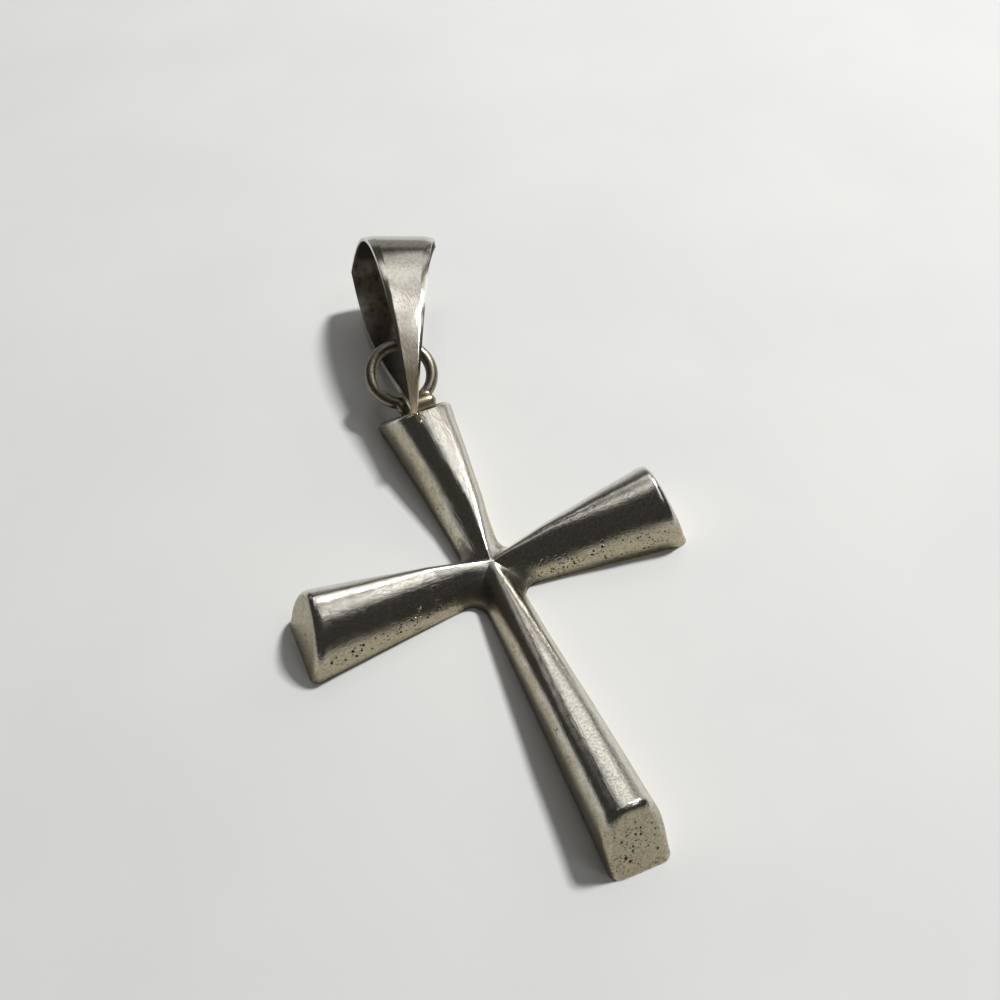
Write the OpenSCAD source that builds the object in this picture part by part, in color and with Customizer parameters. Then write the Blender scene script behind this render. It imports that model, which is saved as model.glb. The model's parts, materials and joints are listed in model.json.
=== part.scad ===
// Cross pendant lying on its back: a cast cross with four flared arms, a ring of round wire soldered
// to the end of its top arm, and a folded sheet bail that runs through the ring.
// +Z points out of the front of the cross and +Y up the cross towards the bail. The origin lies on
// the flat back, below the point where the arms cross.

/* [Cross plan] */
// Width over both side arms
span = 30; // [27:0.1:34]
// Length of the bottom arm from the crossing, at the back
bottom_len = 25.3; // [22:0.1:30]
// Length of the top arm from the crossing, at the back
top_len = 19.3; // [17.5:0.1:22]
// How much shorter the right arm is than the left, as on the worn casting
right_trim = 0.45; // [0:0.05:0.8]
// Width of an arm where it leaves the crossing
waist_w = 3.12; // [2.6:0.05:3.6]
// Width at the end of a side arm
side_end_w = 6.6; // [4.5:0.05:7.5]
// Width at the end of the bottom arm
bottom_end_w = 4.35; // [3.6:0.05:6]
// Width at the end of the top arm
top_end_w = 5.65; // [4.5:0.05:7]
// Radius in the four corners between the arms
crotch_r = 1.4; // [0.6:0.1:1.8]

/* [Cross height] */
// Height at the crossing
waist_h = 2.45; // [2:0.05:3]
// Height at the end of every arm
end_h = 4.95; // [4:0.05:5.5]
// Share of the height that is straight side wall
wall_share = 0.25; // [0.1:0.05:0.4]
// Fullness of the dome at the crossing: 2 is an ellipse, less is a ridge
waist_dome = 1.4; // [1.3:0.1:2.5]
// Fullness of the dome at the left arm's end
left_dome = 1.65; // [1.4:0.05:2.6]
// Fullness of the dome at the right arm's end
right_dome = 1.9; // [1.4:0.05:2.6]
// Fullness of the dome at the bottom arm's end
bottom_dome = 2.8; // [1.8:0.1:3.5]
// Fullness of the dome at the top arm's end
top_dome = 2.8; // [1.8:0.1:3.5]
// Share of an arm's length over which its ridge grows into the full dome
dome_reach = 0.65; // [0.3:0.05:1]
// Share of an arm's length over which its ridge moves off the middle
drift_reach = 0.3; // [0.2:0.05:1]
// How far the left arm's ridge lies off its middle, towards the top
left_drift = 0.5; // [-0.6:0.05:0.6]
// How far the right arm's ridge lies off its middle, towards the top
right_drift = 0.35; // [-0.6:0.05:0.6]
// How far the top arm's ridge lies off its middle, to the right
top_drift = 0.6; // [0:0.05:0.6]
// How far the bottom arm's ridge lies off its middle, to the left
bottom_drift = 0; // [-0.4:0.05:0.4]
// Softening of the top edge round each end face
edge_r = 0.4; // [0.15:0.05:0.5]
// Radius of the upright corners of each end face
corner_r = 0.8; // [0.5:0.1:1.2]

/* [End faces] */
// How far the left arm's end face leans in from foot to top
left_lean = 1.75; // [0:0.05:2.5]
// How far the right arm's end face leans in
right_lean = 1.25; // [0:0.05:2.5]
// How far the bottom arm's end face leans in
bottom_lean = 2.05; // [0:0.05:3]
// How far the top arm's end face leans in
top_lean = 4.8; // [4:0.05:5.2]

/* [Flare] */
// Power of the side arms' widening: 1 is straight, more widens late
side_flare = 1.1; // [1:0.05:1.6]
// Power of the top and bottom arms' widening
long_flare = 1.35; // [1:0.05:1.6]
// Power of the rise from crossing to end: less than 1 rises early
rise_power = 0.9; // [0.6:0.05:1.4]

/* [Ring] */
// Outside diameter of the ring
ring_od = 6.1; // [5.8:0.05:6.4]
// Diameter of its wire
ring_wire = 1.05; // [0.8:0.05:1.2]
// How steeply the ring stands up from the back, in degrees
ring_tilt = 30; // [26:1:34]
// How far the near wire's middle lies in from the foot of the top arm's end face
ring_in = 1.05; // [0.9:0.05:1.2]
// Height of the ring's centre
ring_z = 3.5; // [3.3:0.05:3.7]
// How far the ring sits to the right of the arm's middle
ring_shift = 0.4; // [0:0.05:0.5]
// Radius of the solder bead
solder_r = 0.72; // [0.6:0.02:0.8]
// How far the bead's middle lies behind the wire's, towards the arm
solder_back = 0.5; // [0.4:0.05:0.6]
// Length of the solder bead along the end face
solder_len = 1.9; // [1:0.1:2.4]

/* [Bail] */
// Length of the folded bail from tip to fold
bail_len = 21.2; // [20:0.1:22]
// Outside depth of the loop where it is deepest, near the fold
bail_depth = 8.8; // [8:0.1:9]
// Roundness of the fold: more is blunter and leaves the tip sharper
bail_round = 1.4; // [1.2:0.1:2]
// Width of the strip at its widest, round the fold
bail_w = 7.4; // [6:0.1:8]
// Width of the strip at the tip
bail_tip_w = 0.5; // [0.4:0.05:1]
// Share of the strip's widening that comes late, near the fold
bail_late = 0.25; // [0:0.05:0.4]
// How much further round the fold the left edge is widest, and the right edge less far
bail_slip = 1.6; // [0:0.1:2]
// Thickness of the sheet
sheet = 0.45; // [0.3:0.05:0.55]
// How far in from the tip the two legs are joined
tip_join = 1.2; // [0.8:0.1:1.6]
// Width of the bevel along each edge of the strip, where it is widest
bevel_w = 0.9; // [0.3:0.1:1.2]
// Depth of that bevel
bevel_d = 0.14; // [0.05:0.01:0.2]

/* [Bail at rest] */
// Turn of the lying bail to the right of the cross, in degrees
bail_yaw = 14.2; // [10:0.2:18]
// Lean of the bail onto its right edge, in degrees
bail_roll = 10.4; // [8:0.2:12]
// Slope of the bail from tip to fold, in degrees
bail_pitch = -2.7; // [-3.5:0.1:-2]
// Place of the tip to the right of the arm's middle
tip_x = -0.6; // [-1:0.05:-0.4]
// How far the tip lies in from the foot of the top arm's end face
tip_in = 5.55; // [5.4:0.05:5.7]
// Height of the tip's middle
tip_z = 5.45; // [5.4:0.05:5.8]

/* [Hidden] */
steel = [0.66, 0.64, 0.60];
dull = [0.58, 0.56, 0.52];
round_fn = 48;

// One row an arm, counter-clockwise from the right: length, end width, end lean, flare, dome, and
// how far the ridge lies off the middle, counter-clockwise
LENGTH = 0;
END_W = 1;
LEAN = 2;
FLARE = 3;
DOME = 4;
DRIFT = 5;
left_len = (span + right_trim) / 2;
arms = [
  [left_len - right_trim, side_end_w, right_lean, side_flare, right_dome, right_drift],
  [top_len, top_end_w, top_lean, long_flare, top_dome, -top_drift],
  [left_len, side_end_w, left_lean, side_flare, left_dome, -left_drift],
  [bottom_len, bottom_end_w, bottom_lean, long_flare, bottom_dome, -bottom_drift],
];

// Steps: over half the dome, round a corner between arms, along an arm, round an end edge
half_steps = 12;
crotch_steps = 4;
arm_steps = 12;
edge_steps = 4;
stations = crotch_steps + arm_steps + edge_steps;
across = 2 * half_steps + 2;
mid = half_steps + 1;
waist_half = waist_w / 2;
mitre = waist_half + crotch_r * (1 - cos(45));

// Share of the half width and of the height at point j of a section, from the right foot over the
// top, for a dome of fullness p
function dome_angle(j) = 180 * (j - 1) / (across - 2);
function side_share(j, p) =
  j == 0 ? -1 : j == across ? 1 : j == mid ? 0 :
  -sign(cos(dome_angle(j))) * pow(abs(cos(dome_angle(j))), 2 / p);
function height_share(j, p) =
  j == 0 || j == across ? 0 :
  wall_share + (1 - wall_share) * pow(abs(sin(dome_angle(j))), 2 / p);

// Distance of station i along arm a at the foot, and what the rounded end takes off width and height
function crotch_angle(i) = 45 * (1 - i / crotch_steps);
function arm_share(i) = (i - crotch_steps) / arm_steps;
function edge_angle(i) = 90 * (i - crotch_steps - arm_steps) / edge_steps;
function foot_x(a, i) =
  i <= crotch_steps ? waist_half + crotch_r - crotch_r * sin(crotch_angle(i)) :
  i <= crotch_steps + arm_steps ?
    let (from = waist_half + crotch_r, to = arms[a][LENGTH] - corner_r)
    from + (to - from) * arm_share(i) :
  arms[a][LENGTH] - corner_r + corner_r * sin(edge_angle(i));
function along_share(a, i) = (foot_x(a, i) - mitre) / (arms[a][LENGTH] - mitre);
function narrowing(i) = i <= crotch_steps + arm_steps ? 0 : corner_r * (1 - cos(edge_angle(i)));
function lowering(i) =
  let (over = i <= crotch_steps + arm_steps ? 0 : edge_r - corner_r + corner_r * sin(edge_angle(i)))
  over <= 0 ? 0 : edge_r - sqrt(max(0, edge_r * edge_r - over * over));
function corner(i) = i <= crotch_steps ? crotch_r - crotch_r * cos(crotch_angle(i)) : 0;
function half_w(a, i) =
  waist_half + (arms[a][END_W] / 2 - waist_half) * pow(along_share(a, i), arms[a][FLARE])
  + corner(i) - narrowing(i);
function height(a, i) =
  waist_h + (end_h - waist_h) * pow(along_share(a, i), rise_power) - lowering(i);
function dome(a, i) =
  waist_dome + (arms[a][DOME] - waist_dome) * min(1, along_share(a, i) / dome_reach);

// How far the dome of arm a leans over at station i, for a point at this share of the height
function drift(a, i, share) =
  arms[a][DRIFT] * min(1, along_share(a, i) / drift_reach)
  * max(0, share - wall_share) / (1 - wall_share);

// Point j of station i on arm a: the station leans in towards the end as the end face does
function arm_point(a, i, j) =
  let (
    p = dome(a, i),
    up = height_share(j, p),
    z = height(a, i) * up,
    start = mitre * abs(side_share(j, waist_dome)),
    end = arms[a][LENGTH] - arms[a][LEAN] * z / end_h,
    x = start + (end - start) * along_share(a, i),
    y = half_w(a, i) * side_share(j, p) + drift(a, i, up),
    turn = 90 * a
  )
  [x * cos(turn) - y * sin(turn), x * sin(turn) + y * cos(turn), z];

// Valley between arm d and the next one, from the foot up to the crossing
function valley_point(d, j) =
  let (out = mitre * abs(side_share(j, waist_dome)), turn = 90 * d)
  [out * (cos(turn) - sin(turn)), out * (sin(turn) + cos(turn)), waist_h * height_share(j, waist_dome)];

cross_points = concat(
  [[0, 0, waist_h]],
  [for (d = [0:3]) for (j = [0:mid - 1]) valley_point(d, j)],
  [for (a = [0:3]) for (i = [1:stations]) for (j = [0:across]) arm_point(a, i, j)]
);
function place(a, i, j) =
  i == 0 ? (
    j == mid ? 0 :
    j < mid ? 1 + ((a + 3) % 4) * mid + j :
    1 + a * mid + across - j
  ) :
  1 + 4 * mid + (a * stations + i - 1) * (across + 1) + j;
cross_faces = concat(
  [for (a = [0:3]) for (i = [0:stations - 1]) for (j = [0:across - 1])
    [place(a, i, j), place(a, i + 1, j + 1), place(a, i + 1, j)]],
  [for (a = [0:3]) for (i = [0:stations - 1]) for (j = [0:across - 1])
    [place(a, i, j), place(a, i, j + 1), place(a, i + 1, j + 1)]],
  [for (a = [0:3]) [for (j = [0:across]) place(a, stations, j)]],
  [[for (a = [0:3]) each concat(
    [for (i = [0:stations]) place(a, i, 0)],
    [for (i = [stations:-1:1]) place(a, i, across)]
  )]]
);

// The near wire's middle, the ring's centre beyond it, and the solder bead between wire and end face
ring_r = (ring_od - ring_wire) / 2;
near_wire = [ring_shift, top_len - ring_in, ring_z - ring_r * sin(ring_tilt)];
ring_y = near_wire[1] + ring_r * cos(ring_tilt);
bead_start = near_wire - [solder_r, solder_back, 0];

module cross_body() {
  polyhedron(points = cross_points, faces = cross_faces, convexity = 6);
}

module soldered_ring() {
  translate([ring_shift, ring_y, ring_z])
    rotate([ring_tilt, 0, 0])
      rotate_extrude($fn = round_fn)
        translate([ring_r, 0])
          circle(d = ring_wire, $fn = round_fn);
}

module solder() {
  translate(bead_start) {
    sphere(r = solder_r, $fn = round_fn);
    rotate([0, 90, 0])
      cylinder(r = solder_r, h = solder_len, $fn = round_fn);
    translate([solder_len, 0, 0])
      sphere(r = solder_r, $fn = round_fn);
  }
}

// Cast cross, the ring of round wire and its solder: soldered metal, so one solid
module cross() {
  color(steel) {
    cross_body();
    soldered_ring();
    solder();
  }
}

// Steps along one leg and half the fold
bail_steps = 36;
bail_n = 2 * bail_steps;

// Teardrop curve from its tip over the front leg, round the fold and back along the back leg
function peak(m) = pow((m + 1) / (m + 2), (m + 1) / 2) / sqrt(m + 2);
function leg_sin(i) = sin(90 * min(i, bail_n - i) / bail_steps);
function leg_cos(i) = (i <= bail_steps ? 1 : -1) * cos(90 * min(i, bail_n - i) / bail_steps);
function teardrop(i, from, length, depth) = [
  from + length * pow(leg_sin(i), 2),
  depth / 2 * pow(leg_sin(i), bail_round + 1) * leg_cos(i) / peak(bail_round)
];
function outer(i) = teardrop((i + bail_n) % bail_n, 0, bail_len, bail_depth);
function inner(i) = teardrop(i, tip_join, bail_len - sheet - tip_join, bail_depth - 2 * sheet);

// Width of the strip to either side of its middle (left -1, right 1), by the run along the outside
run = [for (i = 0, s = 0; i <= bail_n; s = s + norm(outer(i + 1) - outer(i)), i = i + 1) s];
function half_strip(i, side) =
  let (
    widest = run[bail_steps] - side * bail_slip,
    share = run[i] < widest ? run[i] / widest : (run[bail_n] - run[i]) / (run[bail_n] - widest)
  )
  bail_tip_w / 2 + (bail_w - bail_tip_w) / 2 * share * (1 - bail_late * (1 - share));
function outward(i) =
  let (d = outer(i + 1) - outer(i - 1), n = norm(d)) i == 0 ? [-1, 0] : [-d[1], d[0]] / n;

// Section of the strip: its outer face has a bevel along both edges
section_n = 6;
function strip_point(i, k) =
  let (
    side = k == 0 || k == 1 || k == 5 ? -1 : 1,
    w = half_strip(i, side),
    inset = k == 1 || k == 2 ? bevel_w * 2 * w / bail_w : 0,
    drop = k == 0 || k == 3 ? bevel_d : 0,
    p = k < 4 ? outer(i) - drop * outward(i) : inner(i)
  )
  [side * (w - inset), p[0], p[1]];

bail_points = [for (i = [0:bail_n - 1]) for (k = [0:section_n - 1]) strip_point(i, k)];
function strip_place(i, k) = (i % bail_n) * section_n + k % section_n;
bail_faces = concat(
  [for (i = [0:bail_n - 1]) for (k = [0:section_n - 1])
    [strip_place(i, k), strip_place(i + 1, k), strip_place(i + 1, k + 1)]],
  [for (i = [0:bail_n - 1]) for (k = [0:section_n - 1])
    [strip_place(i, k), strip_place(i + 1, k + 1), strip_place(i, k + 1)]]
);

// Folded sheet bail, lying beside the ring that it runs through, with its tip over the top arm's end
module bail() {
  color(dull)
    translate([tip_x, top_len - tip_in, tip_z])
      rotate([0, 0, -bail_yaw])
        rotate([bail_pitch, 0, 0])
          rotate([0, bail_roll, 0])
            polyhedron(points = bail_points, faces = bail_faces, convexity = 6);
}

cross();
bail();
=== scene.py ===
# %% [markdown]
# # A cast silver cross on a pale table
# The object is a small pendant: a cast cross with four flared, domed arms, a ring of round wire soldered to
# its top end, and a folded strip of sheet silver, the bail, that runs through the ring. The solid model comes
# first and is loaded here as a fixed frame. Blender adds what a solid model lacks: finer curves, the worn
# surface of old silver, the light and the camera.

# %% Load the frame
import json
import math

import bmesh
import bpy
import numpy as np
from mathutils import Matrix, Vector, kdtree, noise

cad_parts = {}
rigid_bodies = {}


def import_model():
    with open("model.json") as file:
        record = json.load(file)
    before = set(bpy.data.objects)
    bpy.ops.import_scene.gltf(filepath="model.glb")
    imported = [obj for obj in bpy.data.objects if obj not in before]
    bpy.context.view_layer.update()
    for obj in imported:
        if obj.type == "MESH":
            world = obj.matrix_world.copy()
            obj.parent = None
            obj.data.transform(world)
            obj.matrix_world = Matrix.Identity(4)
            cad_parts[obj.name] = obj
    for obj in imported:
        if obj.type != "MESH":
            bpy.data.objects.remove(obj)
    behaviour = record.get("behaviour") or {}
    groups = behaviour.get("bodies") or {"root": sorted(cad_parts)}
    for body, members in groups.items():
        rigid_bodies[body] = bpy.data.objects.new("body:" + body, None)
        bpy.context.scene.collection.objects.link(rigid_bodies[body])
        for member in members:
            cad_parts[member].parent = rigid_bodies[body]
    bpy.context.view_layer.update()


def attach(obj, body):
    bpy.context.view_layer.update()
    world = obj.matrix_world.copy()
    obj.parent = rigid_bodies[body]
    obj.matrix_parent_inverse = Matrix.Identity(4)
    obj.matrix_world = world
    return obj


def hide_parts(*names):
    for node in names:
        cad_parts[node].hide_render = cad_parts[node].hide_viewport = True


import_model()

MM = 0.001

# %% [markdown]
# ## The camera
# The picture is taken by hand, from above and a little to the left of the cross, and leans slightly. A camera
# is set up the same way here: it starts looking straight down with its top towards +Y, rolls, rises out of the
# vertical, and last turns about the vertical. A lens of 46.8 mm on the usual 36 mm sensor gives the
# photograph's own perspective without any shift.

# %% Place the camera
CAMERA_PLACE = Vector((-16.54, -56.57, 77.94)) * MM
CAMERA_HEIGHT_ANGLE = math.radians(49.44)
CAMERA_SIDE_ANGLE = math.radians(17.455)
CAMERA_ROLL = math.radians(-6.418)
SENSOR_WIDTH, FOCAL_LENGTH = 36, 46.8          # mm
NEAREST, FARTHEST = 0.005, 10                  # m

lens = bpy.data.cameras.new("camera")
lens.sensor_width, lens.lens = SENSOR_WIDTH, FOCAL_LENGTH
lens.clip_start, lens.clip_end = NEAREST, FARTHEST
camera = bpy.data.objects.new("camera", lens)
bpy.context.scene.collection.objects.link(camera)
camera.matrix_world = (
    Matrix.Translation(CAMERA_PLACE)
    @ Matrix.Rotation(-CAMERA_SIDE_ANGLE, 4, "Z")
    @ Matrix.Rotation(math.radians(90) - CAMERA_HEIGHT_ANGLE, 4, "X")
    @ Matrix.Rotation(CAMERA_ROLL, 4, "Z")
)
bpy.context.scene.camera = camera
print("camera", [round(v / MM, 1) for v in CAMERA_PLACE], "mm from the crossing")

# %% [markdown]
# ## Small helpers
# Every piece below is a mesh made of rows of points, so two helpers are enough: one turns points in
# millimetres and faces into a Blender object, and one joins neighbouring rows with four-sided faces. Each row
# is a closed loop, and for a ring the last row joins the first again.

# %% A mesh from points and faces
def new_piece(name, points, faces):
    mesh = bpy.data.meshes.new(name)
    mesh.from_pydata([tuple(p) for p in np.asarray(points) * MM], [], faces)
    mesh.validate()
    mesh.update()
    mesh.shade_smooth()
    piece = bpy.data.objects.new(name, mesh)
    bpy.context.scene.collection.objects.link(piece)
    return piece


def strip_faces(rows, columns, closed_rows=False):
    """Quads between neighbouring rows of points."""
    faces = []
    for r in range(rows if closed_rows else rows - 1):
        for c in range(columns):
            r2, c2 = (r + 1) % rows, (c + 1) % columns
            faces.append((r * columns + c, r * columns + c2, r2 * columns + c2, r2 * columns + c))
    return faces


# %% [markdown]
# ## The cast body
# The cross is one casting. Each arm is a loft: a section that is a straight wall with a dome on it, wider and
# fuller towards the end. Near the crossing the domes sharpen into ridges, and the four ridges meet in a crisp
# X with rounded corners between the arms. The same formulas as in the solid model are sampled here about ten
# times as finely, evenly along each section, so that a highlight runs over the silver without a kink.

# %% Sizes of the body, in mm
SPAN = 30.0
RIGHT_TRIM = 0.45
LEFT_LEN = (SPAN + RIGHT_TRIM) / 2
WAIST_W, CROTCH_R = 3.12, 1.4
WAIST_H, END_H, WALL_SHARE = 2.45, 4.95, 0.25
WAIST_DOME, DOME_REACH, DRIFT_REACH = 1.4, 0.65, 0.3
EDGE_R, CORNER_R, RISE_POWER = 0.4, 0.8, 0.9
TOP_LEN, TOP_LEAN = 19.3, 4.8
HALF = WAIST_W / 2
MITRE = HALF + CROTCH_R * (1 - math.cos(math.radians(45)))
# Counter-clockwise from the right: length, width at the end, lean of the end face, flare, dome at the end, and
# how far the ridge drifts off the middle, counter-clockwise
ARMS = [
    dict(name="right", length=LEFT_LEN - RIGHT_TRIM, end_w=6.6, lean=1.25, flare=1.1, dome=1.9, drift=0.35),
    dict(name="top", length=TOP_LEN, end_w=5.65, lean=TOP_LEAN, flare=1.35, dome=2.8, drift=-0.6),
    dict(name="left", length=LEFT_LEN, end_w=6.6, lean=1.75, flare=1.1, dome=1.65, drift=-0.5),
    dict(name="bottom", length=25.3, end_w=4.35, lean=2.05, flare=1.35, dome=2.8, drift=0.0),
]

# %% One section of an arm
STEP = 0.125                # distance between points, in mm
HALF_POINTS = 48            # points over half a section
BACK_COLUMNS = 8            # columns over the flat back
FINE_WALL, FINE_DOME = 30, 600                 # points on the curve that is measured to space the others


def section(tau, fullness):
    """Share of half width and of height: tau runs from -1 at the foot to 0 where the wall ends and 90 on top."""
    angle = np.radians(np.maximum(tau, 0))
    side = np.abs(np.cos(angle)) ** (2 / fullness)
    dome = np.abs(np.sin(angle)) ** (2 / fullness)
    up = np.where(tau < 0, WALL_SHARE * (1 + tau), WALL_SHARE + (1 - WALL_SHARE) * dome)
    side = np.where(tau >= 90, 0.0, side)
    return side, up


def even_taus(half_w, height, fullness):
    """Values of tau that divide half the section into steps of equal length."""
    v = np.linspace(0, 1, FINE_DOME)
    fine = np.concatenate([np.linspace(-1, 0, FINE_WALL)[:-1], 90 * v * v * (3 - 2 * v)])
    side, up = section(fine, fullness)
    gone = np.concatenate([[0], np.cumsum(np.hypot(np.diff(side * half_w), np.diff(up * height)))])
    taus = np.interp(np.linspace(0, gone[-1], HALF_POINTS + 1), gone, fine)
    taus[0], taus[-1] = -1, 90
    return taus


# %% Stations along an arm
CORNER_STEPS, ROUND_STEPS = 10, 9


def stations(arm):
    """Rows (distance at the foot, widening in the corner, narrowing and lowering at the rounded end)."""
    rows = []
    for i in range(1, CORNER_STEPS + 1):
        a = math.radians(45) * (1 - i / CORNER_STEPS)
        rows.append((HALF + CROTCH_R * (1 - math.sin(a)), CROTCH_R * (1 - math.cos(a)), 0, 0))
    start, end = HALF + CROTCH_R, arm["length"] - CORNER_R
    count = round((end - start) / STEP)
    rows += [(start + (end - start) * k / count, 0, 0, 0) for k in range(1, count + 1)]
    for k in range(1, ROUND_STEPS + 1):
        a = math.radians(90) * k / ROUND_STEPS
        over = max(0, EDGE_R - CORNER_R + CORNER_R * math.sin(a))
        rows.append((end + CORNER_R * math.sin(a), 0, CORNER_R * (1 - math.cos(a)),
                     EDGE_R - math.sqrt(max(0, EDGE_R ** 2 - over ** 2))))
    return rows


def arm_section(arm, x_foot, widening, narrowing, lowering):
    """Points of one section, from the right foot over the ridge to the left foot, for an arm along +X."""
    share = (x_foot - MITRE) / (arm["length"] - MITRE)
    half_w = HALF + (arm["end_w"] / 2 - HALF) * share ** arm["flare"] + widening - narrowing
    height = WAIST_H + (END_H - WAIST_H) * share ** RISE_POWER - lowering
    fullness = WAIST_DOME + (arm["dome"] - WAIST_DOME) * min(1, share / DOME_REACH)
    taus = even_taus(half_w, height, fullness)
    side, up = section(taus, fullness)
    z = up * height
    start = MITRE * section(taus, WAIST_DOME)[0]
    x = start + (arm["length"] - arm["lean"] * z / END_H - start) * share
    drift = arm["drift"] * min(1, share / DRIFT_REACH) * np.maximum(0, up - WALL_SHARE) / (1 - WALL_SHARE)
    right = np.stack([x, drift - half_w * side, z], axis=1)
    left = np.stack([x, drift + half_w * side, z], axis=1)[-2::-1]
    return np.concatenate([right, left])


# %% [markdown]
# The four arms share the valleys between them and the point in the middle, so the points there are made once
# and every arm's first row points to them. The back is flat and closed with a plain grid. Each end face is
# filled with rings that shrink towards its middle, because the pits in it need points to sink.

# %% The four valleys and the point in the middle
def turned(points, quarter):
    """Points turned counter-clockwise by quarter turns."""
    cos, sin = [(1, 0), (0, 1), (-1, 0), (0, -1)][quarter]
    x, y, z = points.T
    return np.stack([x * cos - y * sin, x * sin + y * cos, z], axis=1)


points, faces = [], []
valley_taus = even_taus(MITRE * math.sqrt(2), WAIST_H, WAIST_DOME)
valley_side, valley_up = section(valley_taus, WAIST_DOME)
valleys = []
for quarter in range(4):
    line = turned(np.stack([MITRE * valley_side, MITRE * valley_side, valley_up * WAIST_H], axis=1), quarter)
    if quarter == 0:
        points.append(line[-1])
    valleys.append([len(points) + k for k in range(HALF_POINTS)] + [0])
    points.extend(line[:-1])

# %% The middle of the flat back
N = BACK_COLUMNS
VALLEY_AT = {(0, 0): 2, (N, 0): 3, (0, N): 1, (N, N): 0}         # the corners of the square are the valleys' feet
middle_square = {}
for c in range(N + 1):
    for r in range(N + 1):
        if (c, r) in VALLEY_AT:
            middle_square[c, r] = valleys[VALLEY_AT[c, r]][0]
        else:
            middle_square[c, r] = len(points)
            points.append(np.array([MITRE * (2 * c / N - 1), MITRE * (2 * r / N - 1), 0]))
faces += [(middle_square[c, r], middle_square[c, r + 1], middle_square[c + 1, r + 1], middle_square[c + 1, r])
          for c in range(N) for r in range(N)]
square_sides = [
    [middle_square[N, k] for k in range(N + 1)],
    [middle_square[N - k, N] for k in range(N + 1)],
    [middle_square[0, N - k] for k in range(N + 1)],
    [middle_square[k, 0] for k in range(N + 1)],
]


# %% The four arms and their end faces
def back_row(right_foot, left_foot):
    """Points of the flat back between two feet, without the feet."""
    return [right_foot + (left_foot - right_foot) * c / N for c in range(1, N)]


for quarter, arm in enumerate(ARMS):
    over = valleys[(quarter + 3) % 4] + valleys[quarter][-2::-1]
    under = square_sides[quarter]
    for row in stations(arm):
        section_points = turned(arm_section(arm, *row), quarter)
        new_over = [len(points) + k for k in range(len(section_points))]
        points.extend(section_points)
        new_under = [new_over[0]] + [len(points) + k for k in range(N - 1)] + [new_over[-1]]
        points.extend(back_row(section_points[0], section_points[-1]))
        faces += [(over[k], new_over[k], new_over[k + 1], over[k + 1]) for k in range(len(over) - 1)]
        faces += [(under[k], under[k + 1], new_under[k + 1], new_under[k]) for k in range(N)]
        over, under = new_over, new_under
    rim = over + under[-2:0:-1]
    centre = np.mean([points[k] for k in rim], axis=0)
    ring_count = round(0.5 * arm["end_w"] / STEP)
    outer_ring = rim
    for ring in range(1, ring_count):
        inner_ring = [len(points) + k for k in range(len(rim))]
        points.extend(centre + (points[k] - centre) * (1 - ring / ring_count) for k in rim)
        faces += [(outer_ring[k], inner_ring[k], inner_ring[(k + 1) % len(rim)], outer_ring[(k + 1) % len(rim)])
                  for k in range(len(rim))]
        outer_ring = inner_ring
    faces += [(outer_ring[k], len(points), outer_ring[(k + 1) % len(rim)]) for k in range(len(rim))]
    points.append(centre)

body = new_piece("cross_body", points, faces)
print("body:", len(points), "points,", len(faces), "faces")

# %% [markdown]
# ## Ring and solder
# A ring of round wire stands on the slanting end of the top arm. It was set there with a drop of solder, which
# runs a little way along the wire. A torus makes the wire and a rounded bar makes the solder. All three are
# joined into one closed skin, because soldered metal is one solid, and the seams are smoothed afterwards, as
# melted metal draws itself into every corner.

# %% Sizes of ring and solder, in mm
RING_OD, RING_WIRE, RING_TILT = 6.1, 1.05, math.radians(30)
RING_R = (RING_OD - RING_WIRE) / 2
RING_X, RING_Z, RING_IN = 0.4, 3.5, 1.05
# The middle of the wire where the ring is soldered to the end face
NEAR_WIRE = np.array([RING_X, TOP_LEN - RING_IN, RING_Z - RING_R * math.sin(RING_TILT)])
RING_Y = NEAR_WIRE[1] + RING_R * math.cos(RING_TILT)
SOLDER_R, SOLDER_LEN, SOLDER_BACK = 0.72, 1.9, 0.5
RING_STEPS, WIRE_STEPS = 160, 36


# %% Bend the ring
def ring_points(wire_r):
    """Points of a torus, tilted about X and moved to its place."""
    rows = []
    for k in range(RING_STEPS):
        a = 2 * math.pi * k / RING_STEPS
        for s in range(WIRE_STEPS):
            b = 2 * math.pi * s / WIRE_STEPS
            r = RING_R + wire_r * math.cos(b)
            x, y, z = r * math.cos(a), r * math.sin(a), wire_r * math.sin(b)
            tilted = [x, y * math.cos(RING_TILT) - z * math.sin(RING_TILT),
                      y * math.sin(RING_TILT) + z * math.cos(RING_TILT)]
            rows.append(np.array(tilted) + (RING_X, RING_Y, RING_Z))
    return rows


ring = new_piece("ring_wire", ring_points(RING_WIRE / 2), strip_faces(RING_STEPS, WIRE_STEPS, closed_rows=True))
print("ring:", len(ring.data.vertices), "points")

# %% Melt the solder
BAR_STEPS, SMALLEST_R = 24, 0.001              # SMALLEST_R keeps the first and last rows from being one point


def capsule(start, length, radius):
    """A rounded bar along +X as rows round its axis."""
    rows, columns, pts = BAR_STEPS, BAR_STEPS, []
    for r in range(rows + 1):
        a = math.pi * r / rows - math.pi / 2
        x = radius * math.sin(a) + (length if r > rows / 2 else 0 if r < rows / 2 else length / 2)
        for c in range(columns):
            b = 2 * math.pi * c / columns
            q = max(radius * math.cos(a), SMALLEST_R)
            pts.append(start + np.array([x, q * math.cos(b), q * math.sin(b)]))
    quads = strip_faces(rows + 1, columns)
    return pts, quads + [tuple(range(columns))[::-1], tuple(rows * columns + c for c in range(columns))]


def apply_modifiers(piece):
    """Swap the mesh of a piece for what its modifiers make of it."""
    shape = bpy.data.meshes.new_from_object(piece.evaluated_get(bpy.context.evaluated_depsgraph_get()))
    piece.modifiers.clear()
    old, piece.data = piece.data, shape
    bpy.data.meshes.remove(old)


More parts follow.
